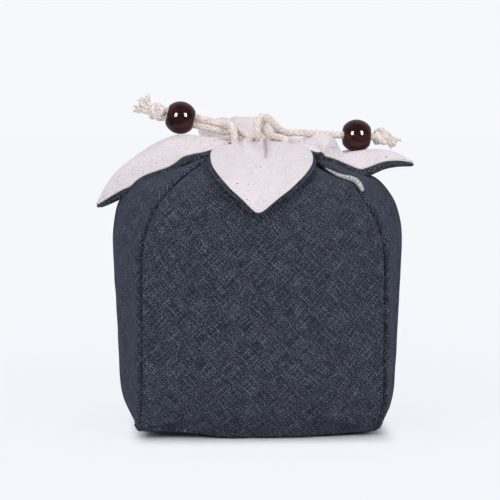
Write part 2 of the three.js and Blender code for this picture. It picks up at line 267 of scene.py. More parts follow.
cord_runs = {
    "left_cord_front_run": ("front", -strand_step),
    "left_cord_right_run": ("right", 0),
    "left_cord_back_run": ("back", -strand_step),
    "right_cord_front_run": ("front", strand_step),
    "right_cord_left_run": ("left", 0),
    "right_cord_back_run": ("back", strand_step),
}
for node, (side, outward) in cord_runs.items():
    ends = [(sign * run_half_length, -sleeve_axis_out - outward, sleeve_axis_height) for sign in (-1, 1)]
    line = even_points(turned_to(side, ends), round(2 * run_half_length / cord_ring_spacing))
    run = plaited_cord(node + "_plait", line, cotton)
    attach(run, "sleeve_" + side)
    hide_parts(node)

cord_corners = {
    "left_cord_corner_front": (1, -1, -strand_step, "front", "right"),
    "left_cord_corner_back": (1, 1, -strand_step, "back", "right"),
    "right_cord_corner_front": (-1, -1, strand_step, "front", "left"),
    "right_cord_corner_back": (-1, 1, strand_step, "back", "left"),
}
for node, (sign_x, sign_y, outward, first_side, second_side) in cord_corners.items():
    bend = corner_start + 0.0008
    points = [(sign_x * corner_start, sign_y * (sleeve_axis_out + outward), sleeve_axis_height)]
    for step in range(5):
        turn = math.pi / 2 * step / 4
        points.append((
            sign_x * (bend + (sleeve_axis_out - bend) * math.sin(turn)),
            sign_y * (bend + (sleeve_axis_out + outward - bend) * math.cos(turn)),
            sleeve_axis_height - 0.0015 * math.sin(2 * turn) ** 2,
        ))
    points.append((sign_x * sleeve_axis_out, sign_y * corner_start, sleeve_axis_height))
    line = smooth_line(points, cord_ring_spacing)
    middle = len(line) // 2
    halves = (
        ("_first", 0, middle, "yoke_" + first_side, "root"),
        ("_second", middle, len(line) - 1, "root", "yoke_" + second_side),
    )
    for suffix, first, last, body_a, body_b in halves:
        half = plaited_cord(node + suffix, line, cotton, first, last)
        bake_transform(half)
        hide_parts(node)

# Free strands, knots, frayed ends and beads
# Each cord's two strands cross in the mouth, run over a flap and through one bead, and are tied together
# in a knot that keeps the bead on. Their ends are frayed.

# A tail's root and knot are given as distances out from the middle and heights. Its tassel has a seed for its
# random draws, a length and a spread.
tails = {
    "left": {"side": -1, "root": (0.021, 0.13576), "knot": (0.0457, 0.1416), "bead_out": 0.035,
             "tassel_slope": 39, "tassel": (7, 0.0088, 1.0), "stacked": True, "length": 0.030},
    "right": {"side": 1, "root": (0.021, 0.1321), "knot": (0.0572, 0.1301), "bead_out": 0.046,
              "tassel_slope": -48, "tassel": (21, 0.0064, 0.7), "stacked": False, "length": 0.0395},
}
# A strand's route starts at its sleeve's end. The strand leaves the sleeve's yoke at one of the route's
# points, and is cut at four more, where the root, the next yoke, its sleeve and its petal take over.
strands = {
    ("left", 1): {
        "exit": "front",
        "route": [(-0.0097, -0.0118, 0.1259), (-0.0106, -0.0117, 0.1272), (-0.0107, -0.0112, 0.1295),
                  (-0.0109, -0.0094, 0.1325), (-0.0117, -0.0062, 0.1351), (-0.0129, -0.0028, 0.1361),
                  (-0.016, -0.0006, 0.1363)],
        "leave": 0,
        "cuts": (3, 3, 5, 6),
    },
    ("left", 2): {
        "exit": "back",
        "route": [(-0.0097, 0.0118, 0.1259), (-0.0106, 0.0117, 0.1272), (-0.0103, 0.0109, 0.1301),
                  (-0.009, 0.0076, 0.1321), (-0.0066, 0.003, 0.1289), (-0.0044, -0.0015, 0.127),
                  (-0.0036, -0.0056, 0.1273), (-0.0036, -0.0083, 0.1293), (-0.0062, -0.0062, 0.1319),
                  (-0.0106, -0.0024, 0.1333), (-0.0134, -0.0006, 0.1326)],
        "leave": 1,
        "cuts": (3, 8, 9, 10),
    },
    ("right", 1): {
        "exit": "back",
        "route": [(0.01, 0.0151, 0.1259), (0.0116, 0.0147, 0.1269), (0.0123, 0.0136, 0.1286),
                  (0.0112, 0.0114, 0.1307), (0.0082, 0.0062, 0.1315), (0.0056, 0.0016, 0.1283),
                  (0.0026, -0.0044, 0.1269), (0.0006, -0.0082, 0.1286), (0, -0.0099, 0.1315),
                  (-0.0002, -0.0093, 0.1352), (0.0005, -0.0086, 0.1385), (0.003, -0.0078, 0.1397),
                  (0.0064, -0.0066, 0.1375), (0.01, -0.0044, 0.1339), (0.0136, -0.0022, 0.1323),
                  (0.0165, -0.0017, 0.1322)],
        "leave": 2,
        "cuts": (4, 13, 14, 15),
    },
    ("right", 2): {
        "exit": "front",
        "route": [(0.01, -0.0151, 0.1259), (0.0116, -0.0147, 0.1269), (0.0123, -0.0136, 0.1286),
                  (0.011, -0.0116, 0.1299), (0.0081, -0.0095, 0.1303), (0.0046, -0.0076, 0.1321),
                  (0.0024, -0.0052, 0.1345), (0.0024, -0.0026, 0.1373), (0.005, -0.0006, 0.1389),
                  (0.0074, 0.0008, 0.1369), (0.01, 0.0016, 0.1339), (0.0134, 0.0018, 0.1323),
                  (0.0165, 0.0017, 0.1322)],
        "leave": 2,
        "cuts": (4, 10, 11, 12),
    },
}
knot_half_length = 0.0034


def tail_directions(tail):
    """Where a tail starts, where its knot is, and the directions along it and upright across it."""
    root = np.array((tail["side"] * tail["root"][0], 0, tail["root"][1]))
    knot = np.array((tail["side"] * tail["knot"][0], 0, tail["knot"][1]))
    ahead = unit(knot - root)
    up = np.array((-tail["side"] * ahead[2], 0, tail["side"] * ahead[0]))
    return root, knot, ahead, up


tail_pieces = {"left": [], "right": []}
for (name, number), strand in strands.items():
    tail = tails[name]
    root, knot, ahead, up = tail_directions(tail)
    apart = up if tail["stacked"] else np.array((0, -1, 0))
    beside = root + apart * (strand_step if number == 1 else -strand_step)
    outward = -strand_step if name == "left" else strand_step
    front = strand["exit"] == "front"
    leaving = (
        tail["side"] * corner_start,
        (-1 if front else 1) * (sleeve_axis_out + outward),
        sleeve_axis_height,
    )
    inner = smooth_line(
        [leaving, *strand["route"], beside - ahead * cord_diameter / 2, beside], cord_ring_spacing)
    tail_length = np.linalg.norm(knot - root) + knot_half_length
    outer = even_points([beside, beside + ahead * tail_length], round(tail_length / cord_ring_spacing) + 1)
    line = np.concatenate([inner, outer[1:]])
    rise, loop, cross, over = (
        int(np.argmin(np.linalg.norm(inner - np.array(strand["route"][cut]), axis=1)))
        for cut in strand["cuts"])
    turning = len(inner) - 1
    exit_yoke = "yoke_" + strand["exit"]
    leave = strand["route"][strand["leave"]]
    stretches = [
        ("rise", 0, rise, (exit_yoke, "root"), leave),
        ("loop", rise, loop, None, None),
        ("cross", loop, cross, ("root", "yoke_" + name), line[loop]),
        ("over", cross, over, ("yoke_" + name, "sleeve_" + name), line[cross]),
        ("onto", over, turning, ("sleeve_" + name, "petal_" + name), line[over]),
    ]
    node = f"{name}_cord_strand_{number}"
    for stretch, first, last, bodies, start in stretches:
        if last <= first:
            continue
        piece = plaited_cord(f"{node}_{stretch}", line, cotton, first, last)
        if bodies:
            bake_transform(piece)
        else:
            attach(piece, "root")
        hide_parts(node + "_inner")
        tail_pieces[name].append(piece)
    piece = plaited_cord(node + "_tail_plait", line, cotton, turning)
    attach(piece, "tail_" + name)
    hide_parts(node + "_tail")


def tied_knot(name, centre, ahead, up):
    """Both strands wound twice round themselves, drawn tight."""
    winding_radius = 0.00095
    winding_half_length = 0.0021
    across = np.cross(ahead, up)
    turn = np.linspace(0, 2 * math.pi, 400)[:, None]
    ring = (2 + np.cos(3 * turn)) * winding_radius
    line = centre + ahead * np.sin(3 * turn) * winding_half_length
    line = line + up * ring * np.cos(2 * turn) + across * ring * np.sin(2 * turn)
    length = np.linalg.norm(np.diff(line, axis=0), axis=1).sum()
    return plaited_cord(name, even_points(line, round(length / cord_ring_spacing)), cotton, diameter=0.0032)


tuft_count = 9
threads_in_tuft = 4
thread_rings = 7
thread_sides = 6


def frayed_end(name, start, ahead, up, seed, reach, spread_share):
    """Loose cotton threads that fan out from the cord's end in a few tufts."""
    random = np.random.default_rng(seed)
    across = np.cross(ahead, up)
    along = np.linspace(0, 1, thread_rings)[:, None]
    vertices, faces, places = [], [], []
    for tuft in range(tuft_count):
        tuft_turn = 2 * math.pi * tuft / tuft_count + random.uniform(-0.3, 0.3)
        tuft_spread = (random.uniform(0.15, 0.55) if tuft else 0.05) * spread_share
        for _ in range(threads_in_tuft):
            turn = tuft_turn + random.normal(0, 0.2)
            spread = 1.35 * tuft_spread + random.normal(0, 0.05)
            length = reach * random.uniform(0.8, 1)
            side = up * math.cos(turn) + across * math.sin(turn) * 0.4
            begin = start - ahead * 0.0012 + side * random.uniform(0.0002, 0.0013)
            curl = random.normal(0, 0.0004, 3)
            line = begin + ahead * along * length * math.cos(spread)
            line = line + side * along ** 1.4 * length * math.sin(spread) + curl * along ** 2
            thick = random.uniform(0.0006, 0.0008)
            first = len(vertices)
            for ring in range(thread_rings):
                radius = thick * (1 - 0.6 * (ring / (thread_rings - 1)) ** 2)
                for i in range(thread_sides):
                    angle = 2 * math.pi * i / thread_sides
                    vertices.append(line[ring] + (up * math.cos(angle) + across * math.sin(angle)) * radius)
            quads, steps = tube_sides(first, thread_rings, thread_sides)
            faces += quads
            places += [(0.001 * a + 0.003 * tuft, 0.0012 * b) for a, b in steps]
            faces.append([first + i for i in range(thread_sides)][::-1])
            faces.append([len(vertices) - thread_sides + i for i in range(thread_sides)])
            places += [(0, 0)] * (2 * thread_sides)
    return add_piece(name, vertices, faces, places, loose_cotton)


loose_cotton, tree, shader = new_material("loose_cotton", 0.9)
patches = noise_of(tree, sized_coordinates(tree), 240.0, 1.0)
paint(tree, shader, patches, [(0.3, (0.76, 0.67, 0.61)), (0.55, (0.84, 0.77, 0.72))])
shader.inputs["Specular IOR Level"].default_value = 0.1
polished_wood, tree, shader = new_material("polished_dark_wood", 0.07)
place = shader_node(tree, "TexCoord").outputs["Object"]
stretched = shader_node(tree, "Mapping", {"Vector": place, "Scale": (220.0, 420.0, 900.0)})
grain = noise_of(tree, stretched.outputs[0], 1.0, 4.0)
glow = noise_of(tree, place, 95.0, 1.0)
mixed = math_of(tree, "MULTIPLY_ADD", grain, 0.35, math_of(tree, "MULTIPLY", glow, 0.65))
paint(tree, shader, mixed, [
    (0.36, (0.007, 0.003, 0.003)), (0.52, (0.024, 0.007, 0.006)), (0.68, (0.075, 0.018, 0.012))])
shader.inputs["IOR"].default_value = 1.5
shader.inputs["Specular IOR Level"].default_value = 0.35


def turned_bead(name, centre, ahead, up):
    """A turned bead with a rounded rim round its bore."""
    radius, bore, rim = 0.0075, 0.0035, 0.0005
    half = math.sqrt((radius - rim) ** 2 - (bore + rim) ** 2)
    rim_turn = math.atan2(bore + rim, half)
    profile = []
    for turn in np.linspace(rim_turn, math.pi - rim_turn, 49):
        profile.append((radius * math.sin(turn), -radius * math.cos(turn)))
    for turn in np.linspace(rim_turn, -math.pi / 2, 8)[1:]:
        profile.append((bore + rim + rim * math.sin(turn), half + rim * math.cos(turn)))
    profile += [(bore, z) for z in np.linspace(half, -half, 9)[1:-1]]
    for turn in np.linspace(-math.pi / 2, rim_turn, 8)[:-1]:
        profile.append((bore + rim + rim * math.sin(turn), -half - rim * math.cos(turn)))
    across = np.cross(ahead, up)
    around = 72
    vertices = []
    for r, h in profile:
        for i in range(around):
            turn = 2 * math.pi * i / around
            vertices.append(centre + ahead * h + (up * math.cos(turn) + across * math.sin(turn)) * r)
    faces = []
    for j in range(len(profile)):
        near = j * around
        far = (j + 1) % len(profile) * around
        for i in range(around):
            k = (i + 1) % around
            faces.append((near + i, far + i, far + k, near + k))
    return add_piece(name, vertices, faces, [(0, 0)] * (4 * len(faces)), polished_wood)


for name, tail in tails.items():
    root, knot, ahead, up = tail_directions(tail)
    tied = tied_knot(name + "_cord_knot_tied", knot, ahead, up)
    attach(tied, "tail_" + name)
    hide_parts(name + "_cord_knot")
    slope = math.radians(tail["tassel_slope"])
    tassel_ahead = np.array((tail["side"] * math.cos(slope), 0, math.sin(slope)))
    tassel_up = np.cross((0, 1, 0), tassel_ahead)
    frayed = frayed_end(name + "_cord_frayed_end", knot + ahead * knot_half_length, tassel_ahead, tassel_up,
                        *tail["tassel"])
    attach(frayed, "tail_" + name)
    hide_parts(name + "_cord_tassel")
    bead_along = (tail["bead_out"] - tail["root"][0]) / abs(ahead[0])
    bead = turned_bead(name + "_cord_bead_turned", root + ahead * bead_along, ahead, up)
    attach(bead, "bead_" + name)
    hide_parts(name + "_cord_bead")
    tail_pieces[name] += [tied, frayed, bead]

# Outer cloth
# Four side panels of slate cotton-linen, each cut in one with the yoke that folds in over the shoulder to
# the mouth, and a base. They are sewn together along the corners, and above the corners the yokes' edges are
# left open.


def woven_cloth(name, pitch, turn, stops, slub, bump_depth, roughness):
    """Plain weave: threads of uneven colour, a pitch apart, that pass over and under one another."""
    material, tree, shader = new_material(name, roughness)
    place = shader_node(tree, "Mapping", {
        "Vector": sized_coordinates(tree), "Rotation": (0, 0, turn), "Scale": (1 / pitch, 1 / pitch, 1)})
    parts = shader_node(tree, "SeparateXYZ", {0: place.outputs[0]})
    warp = math_of(tree, "SINE", math_of(tree, "MULTIPLY", parts.outputs[0], math.pi))
    weft = math_of(tree, "SINE", math_of(tree, "MULTIPLY", parts.outputs[1], math.pi))
    crossing = math_of(tree, "MULTIPLY", warp, weft)
    warp_over = math_of(tree, "GREATER_THAN", crossing, 0.0)
    height = math_of(tree, "ABSOLUTE", crossing)
    yarns = []
    for scale in ((1.0, 0.05, 1.0), (0.05, 1.0, 1.0)):
        stretched = shader_node(tree, "Mapping", {"Vector": place.outputs[0], "Scale": scale})
        yarns.append(noise_of(tree, stretched.outputs[0], 1.3, 1.0, 0.6))
    seen = shader_node(tree, "Mix", {0: warp_over, 2: yarns[1], 3: yarns[0]}, data_type="FLOAT")
    patches = noise_of(tree, place.outputs[0], 0.05, 3.0)
    specks = noise_of(tree, place.outputs[0], 1.0, 1.0)
    colour = math_of(tree, "MULTIPLY_ADD", specks, 1.1, math_of(tree, "MULTIPLY", seen.outputs[0], 1.3))
    share = math_of(tree, "MULTIPLY_ADD", colour, slub / 2, math_of(
        tree, "MULTIPLY_ADD", height, 0.3, math_of(
            tree, "MULTIPLY_ADD", patches, 0.08, 0.31 - 0.6 * slub)))
    paint(tree, shader, share, stops)
    roughen(tree, shader, math_of(tree, "MULTIPLY_ADD", seen.outputs[0], 0.5, height), 0.6, bump_depth)
    shader.inputs["Specular IOR Level"].default_value = 0.1
    return material, tree, shader


slate_cloth, tree, shader = woven_cloth(
    "slate_cotton_linen", 0.0006, math.radians(44),
    [(0.05, (0.004, 0.005, 0.012)), (0.45, (0.024, 0.029, 0.042)), (0.72, (0.066, 0.076, 0.100)),
     (1.0, (0.19, 0.21, 0.26))],
    2.9, 0.00028, 0.95)
shader.inputs["Sheen Weight"].default_value = 0.07
shader.inputs["Sheen Roughness"].default_value = 0.45
shader.inputs["Sheen Tint"].default_value = (0.55, 0.65, 1, 1)

# The tucks, lifts and seam depths are each corner's own, from the front's left corner round to its right one
# and on.
shoulder_height = 0.106
shoulder_rounding = 0.0045
corner_drop = 0.003
seam_half = 0.0538
seam_top_half = 0.0450
seam_draw_height = 0.070
middle_half = 0.0663
widest_height = 0.084
foot_half = 0.062
shoulder_half = 0.0615
foot_height = 0.020
foot_tuck = 0.006
corner_tucks = (-0.0016, 0.0042, 0.001, 0.001)
corner_lifts = (0.0032, 0.0010, 0.0022, 0.0022)
seam_depths = (0.0013, 0.0022, 0.0014, 0.0014)
yoke_top_out = 0.01775
yoke_crown = 0.0014
yoke_above = 0.00245
outer_cloth = 0.001
foot_lift_fade = 0.012
upwards = np.array((0, 0, 1))


def seam_at(z, corner_tuck):
    """How far out the corner seams stand at a height."""
    lean = np.maximum(0, z - seam_draw_height) / (shoulder_height - corner_drop - seam_draw_height)
    tuck = np.maximum(0, 1 - z / foot_height) ** 2
    return seam_half - corner_tuck * tuck - (seam_half - seam_top_half) * lean ** 3


def middle_at(z):
    """How far out the middle of a side stands at a height."""
    below = middle_half - (middle_half - foot_half) * (widest_height - z) / widest_height
    below = below - foot_tuck * np.maximum(0, 1 - z / foot_height) ** 2
    above = (z - widest_height) / (shoulder_height - widest_height)
    return np.where(z < widest_height, below, middle_half - (middle_half - shoulder_half) * above ** 2)


# How much a yoke's open edge rises or sags, from the shoulder to the mouth.
edge_places = (0.1, 0.2, 0.3, 0.4, 0.6, 0.7, 0.85)
plain_edge = (0, 0, 0, 0, 0, 0, 0)
open_front_edge = (0.0042, 0.0022, 0.0000, -0.0010, -0.0024, -0.0010, 0)
open_left_edge = (0.0008, 0.0016, 0.0019, 0.0017, 0.0012, 0.0006, 0)
open_right_edge = (0.0030, 0.0040, 0.0028, 0.0012, -0.0002, 0.0006, 0)


def at_corners(amounts, side):
    """A side's own two of the four corners' amounts, seen from outside from left to right."""
    first = quarter_turns[side]
    return amounts[first], amounts[(first + 1) % 4]


def tuck_at(side, u):
    """How far the foot is drawn in: each corner its own amount, evenly changing from one to the next."""
    first, last = at_corners(corner_tucks, side)
    return first + (last - first) * (u + 1) / 2


def side_column(side, u, slit, wall_depth, yoke_depth, foot, edge):
    """A line of a side's cloth, from the foot up the wall and over the shoulder to the mouth.

    u is its place across the side, from -1 at the first corner to 1 at the last.
    """
    z = np.linspace(foot, shoulder_height - corner_drop * u * u - shoulder_rounding, 90)
    seam = seam_at(z, tuck_at(side, u))
    out = seam + (middle_at(z) - seam) * (1 - u * u)
    wall = np.stack([u * (seam - wall_depth), wall_depth - out, z], axis=1)
    share = np.linspace(0.11, 1, 50)
    bottom = seam_top_half + (shoulder_half - seam_top_half) * (1 - u * u)
    out = bottom + (yoke_top_out - bottom) * share
    corner = seam_top_half + (yoke_top_out - seam_top_half) * share
    half = corner - slit - (yoke_top_out - slit - sleeve_half_length) * share ** 6
    low = shoulder_height - corner_drop * u * u + yoke_above
    height = low + (sleeve_axis_height - low) * share + yoke_crown * np.sin(math.pi * share)
    height = height + np.interp(share, edge_places, edge) * abs(u) ** 6
    yoke = np.stack([u * half, -out, height - yoke_depth], axis=1)
    # Each point then moves to a weighted mean of the points near it, which rounds the shoulder.
    line = even_points(np.concatenate([wall, yoke]), 400)
    reach = 14
    kernel = np.exp(-0.5 * (np.arange(-reach, reach + 1) / 6) ** 2)
    kernel /= kernel.sum()
    before = 2 * line[:1] - line[reach:0:-1]
    after = 2 * line[-1:] - line[-2:-reach - 2:-1]
    padded = np.concatenate([before, line, after])
    return np.stack([np.convolve(padded[:, k], kernel, "valid") for k in range(3)], axis=1)


def side_grid(side, columns, rows, wall_depth, yoke_depth, foot, slits, edges):
    """Rows by columns of points on the front side's cloth, and each point's place on the flat cloth."""
    lines = []
    for u in columns:
        slit, edge = slits[int(u > 0)], edges[int(u > 0)]
        lines.append(even_points(side_column(side, u, slit, wall_depth, yoke_depth, foot, edge), rows))
    lines = np.stack(lines, axis=1)
    steps = np.linalg.norm(np.diff(lines, axis=1), axis=2)
    across = np.concatenate([np.zeros((rows, 1)), np.cumsum(steps, axis=1)], axis=1)
    across -= across[:, -1:] / 2
    middle = lines[:, len(columns) // 2]
    along = np.concatenate([[0], np.cumsum(np.linalg.norm(np.diff(middle, axis=0), axis=1))])
    return lines, np.stack([across, np.repeat(along[:, None], len(columns), axis=1)], axis=2)


def outward_normals(grid):
    """The directions square to the front side's cloth that point out of the bag."""
    normals = unit(np.cross(np.gradient(grid, axis=1), np.gradient(grid, axis=0)))
    middle_of_wall = normals[40, grid.shape[1] // 2]
    return -normals if middle_of_wall[1] > 0 else normals


def cloth_shell(name, outer, inner, places, material, wrapped=0.0):
    """Cloth of some thickness between two grids of points, closed by a rounded edge.

    places gives each point's place on the flat cloth, and wrapped how much further the under side reaches.
    """
    rows, columns = outer.shape[:2]
    index = np.arange(rows * columns).reshape(rows, columns)
    flat_places = places.reshape(-1, 2)
    under_places = flat_places + wrapped * np.sign(flat_places) * (1, 0)
    quads = np.stack([index[:-1, :-1], index[:-1, 1:], index[1:, 1:], index[1:, :-1]], axis=-1)
    quads = quads.reshape(-1, 4)
    below = rows * columns
    border = np.concatenate([index[0, :-1], index[:-1, -1], index[-1, :0:-1], index[:0:-1, 0]])
    top, under = outer.reshape(-1, 3), inner.reshape(-1, 3)
    middle = (top[border] + under[border]) / 2
    centre_rows = np.clip(border // columns, 1, rows - 2)
    centre_columns = np.clip(border % columns, 1, columns - 2)
    away = unit(middle - (outer[centre_rows, centre_columns] + inner[centre_rows, centre_columns]) / 2)
    thick = np.linalg.norm(top[border] - under[border], axis=1, keepdims=True)
    rim = middle + away * thick * 0.4
    count = len(border)
    rim_index = 2 * below + np.arange(count)
    following = np.roll(np.arange(count), -1)
    upper = np.stack([border, rim_index, rim_index[following], border[following]], axis=1)
    lower = np.stack([rim_index, border + below, border[following] + below, rim_index[following]], axis=1)
    all_quads = np.concatenate([quads, quads[:, ::-1] + below, upper, lower])
    rim_places = (flat_places[border] + under_places[border]) / 2
    all_places = np.concatenate([flat_places, under_places, rim_places])
    vertices = np.concatenate([top, under, rim])
    a, b, c = (vertices[quads[:, k]] for k in range(3))
    facing = (np.cross(b - a, c - a) * (vertices[quads[:, 0]] - vertices[quads[:, 0] + below])).sum()
    if facing < 0:
        all_quads = all_quads[:, ::-1]
    return add_piece(name, vertices, all_quads.tolist(), all_places[all_quads.ravel()], material)


def slow_noise(points, size, seed):
    """Soft uneven swelling of cloth, from -1 to 1, with bumps of about the given size."""
    offset = Vector((seed * 3.1, seed * 1.7, seed * 0.9))
    flat = np.asarray(points).reshape(-1, 3) / size
    values = [noise.noise(Vector(p) + offset) for p in flat]
    return np.array(values).reshape(np.asarray(points).shape[:-1])


def foot_lift(side, u):
    """How far the foot stands clear of the floor: more towards the corners, each by its own amount."""
    first, last = at_corners(corner_lifts, side)
    share = np.clip((np.abs(u) - 0.25) / 0.6, 0, 1)
    return 0.0007 + np.where(u < 0, first, last) * share * share * (3 - 2 * share)


edge_columns = 1 - 0.12 * np.linspace(0, 1, 16) ** 1.6
side_columns = np.concatenate([-edge_columns, np.linspace(-0.88, 0.88, 76)[1:-1], edge_columns[::-1]])
side_rows = 124
closed_slit = 0.00015
slits = {side: (closed_slit, closed_slit) for side in quarter_turns}
slits["front"] = (0.0006, 0.0017)
slits["left"] = (closed_slit, 0.0006)
yoke_edges = {side: (plain_edge, plain_edge) for side in quarter_turns}
yoke_edges["front"] = (plain_edge, open_front_edge)
yoke_edges["right"] = (open_right_edge, plain_edge)
yoke_edges["left"] = (plain_edge, open_left_edge)
panel_half_width = 0.05
pucker_length = 0.0075

# Small forms stand out of each panel's smooth surface. The walls are drawn in and puckered at the seams and
# plump beside them, with a low crest on either side of the middle. The yokes' open edges are turned in, their
# cloth is gathered towards the mouth, and each wall folds over itself at the foot, towards its corners.
cloth_points, cloth_faces = [], []
for number, side in enumerate(quarter_turns):
    grid, places = side_grid(
        side, side_columns, side_rows, 0.00004, 0.0, 0.0, slits[side], yoke_edges[side])
    normals = outward_normals(grid)
    u = side_columns[None, :]
    z = grid[:, :, 2]
    from_edge = (1 - np.abs(u)) * panel_half_width
    on_wall = np.clip((0.107 - z) / 0.007, 0, 1)
    turned_in = 0.0012 * np.exp(-(from_edge / 0.0015) ** 1.4) * (1 - on_wall)
    plump = 0.0008 * np.exp(-(from_edge / 0.007) ** 2) * on_wall
    seam_depth = np.where(u < 0, *at_corners(seam_depths, side))
    drawn_in = seam_depth * np.exp(-(from_edge / 0.0007) ** 1.4) * on_wall
    pucker = np.sin(places[:, :, 1] / pucker_length * 2 * math.pi + 2 * slow_noise(grid, 0.02, number + 5))
    puckers = 0.0002 * pucker * np.exp(-from_edge / 0.0045) * on_wall
    crest = 0.0006 * np.exp(-((np.abs(u) - 0.56 - 0.04 * np.sin(z * 60)) / 0.05) ** 2)
    crest = crest * np.clip((0.1 - z) / 0.03, 0, 1) * np.clip(z / 0.03, 0, 1)
    swell = 0.0006 * slow_noise(grid, 0.024, number) + 0.00022 * slow_noise(grid, 0.009, number + 20)
    swell = swell * np.clip(z / 0.01, 0, 1)
    near_mouth = np.clip((places[:, :, 1] - 0.128) / 0.03, 0, 1)
    gathers = 0.0009 * near_mouth ** 1.5 * np.cos(u * 11 + 0.8 * np.sin(7 * u + number))
    fold_height = np.interp(np.abs(u), (0.40, 0.68, 0.98), (0.0125, 0.0062, 0.002))
    beside_fold = np.clip((np.abs(u) - 0.36) / 0.16, 0, 1)
    fold = 0.0005 * np.exp(-((z - fold_height) / 0.0011) ** 2)
    fold = fold - 0.0012 * np.clip((fold_height - z) / 0.003, 0, 1)
    away_from_seam = 1 - np.exp(-(from_edge / 0.0013) ** 2) * on_wall
    shift = (swell + puckers + crest + gathers + plump + fold * beside_fold) * away_from_seam - turned_in
    outer = grid + normals * shift[:, :, None]
    outer = outer + np.stack([-np.sign(u) * drawn_in, drawn_in, 0 * drawn_in], axis=2)
    across = np.cumsum(np.linalg.norm(np.diff(outer, axis=1, prepend=outer[:, :1]), axis=2), axis=1)
    places = np.stack([across - across[:, -1:] / 2, places[:, :, 1]], axis=2)
    outer[:, :, 2] += foot_lift(side, u) * np.exp(-z / foot_lift_fade)
    inner = outer - normals * outer_cloth
    inner[:, :, 2] = np.maximum(inner[:, :, 2], 0.0004)
    panel = cloth_shell(
        f"{side}_side_cloth", turned_to(side, outer), turned_to(side, inner), places, slate_cloth)
    cloth_faces += [[v + len(cloth_points) for v in face.vertices] for face in panel.data.polygons]
    cloth_points += [v.co.copy() for v in panel.data.vertices]
    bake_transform(panel)
    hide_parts("outer_" + side, f"yoke_{side}_outer")
cloth_surface = bvhtree.BVHTree.FromPolygons(cloth_points, cloth_faces)


def base_grid(inset, depth):
    """A square with slightly bulging edges, which lies flat inside the feet of the side panels."""
    a, b = np.meshgrid(np.linspace(-1, 1, 44), np.linspace(-1, 1, 44))
    foot = np.array(depth)
    front_tuck = tuck_at("front", a)
    back_tuck = tuck_at("back", -a)
    seam = seam_at(foot, front_tuck + (back_tuck - front_tuck) * (b + 1) / 2) - inset
    bulge = float(middle_at(foot)) - inset - seam
    x = a * (seam + bulge * (1 - b * b))
    y = b * (seam + bulge * (1 - a * a))
    grid = np.stack([x, y, np.full_like(x, depth)], axis=2)
    at_front_or_back = np.where(b < 0, foot_lift("front", a), foot_lift("back", -a))
    at_right_or_left = np.where(a < 0, foot_lift("left", -b), foot_lift("right", b))
    grid[:, :, 2] += np.maximum(at_front_or_back * np.abs(b) ** 6, at_right_or_left * np.abs(a) ** 6)
    return grid, grid[:, :, :2].copy()


grid, places = base_grid(0.0008, 0.0)
swell = 0.0003 * (1 + slow_noise(grid, 0.015, 3)) * np.clip(
    (0.045 - np.abs(grid[:, :, :2]).max(axis=2)) / 0.01, 0, 1)
top = grid + outer_cloth * upwards + swell[:, :, None] * upwards
base = cloth_shell("base_cloth", grid, top, places, slate_cloth)
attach(base, "root")
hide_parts("outer_base")

# Wadding
# A soft layer of off-white polyester wadding between the outer cloth and the lining, in the four walls and
# the base. It gives the bag its stiff, plump walls, and doesn't show from outside.
wadding_fluff, tree, shader = new_material("soft_wadding", 1.0)
fluff = noise_of(tree, sized_coordinates(tree), 420.0, 6.0, 0.7)
paint(tree, shader, fluff, [(0.3, (0.72, 0.71, 0.68)), (0.7, (0.93, 0.92, 0.9))])
roughen(tree, shader, fluff, 0.8, 0.0006)
pad_outer_depth = 0.0014
pad_inner_depth = 0.0039
pad_foot = 0.0016
pad_top_gap = 0.0008
pad_corner_gap = 0.0024
pad_columns = np.linspace(-1, 1, 41)


def wall_grid(side, depth):
    """Rows by columns of points on the front wall alone, some way in from its outer surface."""
    u = pad_columns[None, :]
    top = shoulder_height - corner_drop * u * u
    z = pad_foot + (top - pad_top_gap - pad_foot) * np.linspace(0, 1, 56)[:, None]
    seam = seam_at(z, tuck_at(side, u))
    out = seam + (middle_at(z) - seam) * (1 - u * u) - 0.0018 * u ** 10
    z = z + foot_lift(side, u) * np.exp(-z / foot_lift_fade)
    tucked = 0.0014 * np.exp(-(z / foot_lift_fade) ** 2)
    return np.stack([u * (seam - depth - pad_corner_gap), depth + tucked - out, z], axis=2)


for number, side in enumerate(quarter_turns):
    outer = wall_grid(side, pad_outer_depth)
    inner = wall_grid(side, pad_inner_depth)
    lumps = 0.00025 * slow_noise(outer, 0.011, number + 40)[:, :, None] * unit(inner - outer)
    outer = outer + np.abs(lumps)
    inner = inner + lumps * 0.4
    places = np.stack([outer[:, :, 0], outer[:, :, 2]], axis=2)
    pad = cloth_shell(
        f"{side}_wadding_layer", turned_to(side, outer), turned_to(side, inner), places, wadding_fluff)
    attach(pad, "root")
    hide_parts("padding_" + side)
base_pad_thick = 0.0023
grid, places = base_grid(0.0044, 0.0015)
lumps = 0.0003 * slow_noise(grid, 0.01, 50)
top = grid + base_pad_thick * upwards + lumps[:, :, None] * upwards
base_pad = cloth_shell("base_wadding_layer", grid, top, places, wadding_fluff)
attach(base_pad, "root")
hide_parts("padding_base")

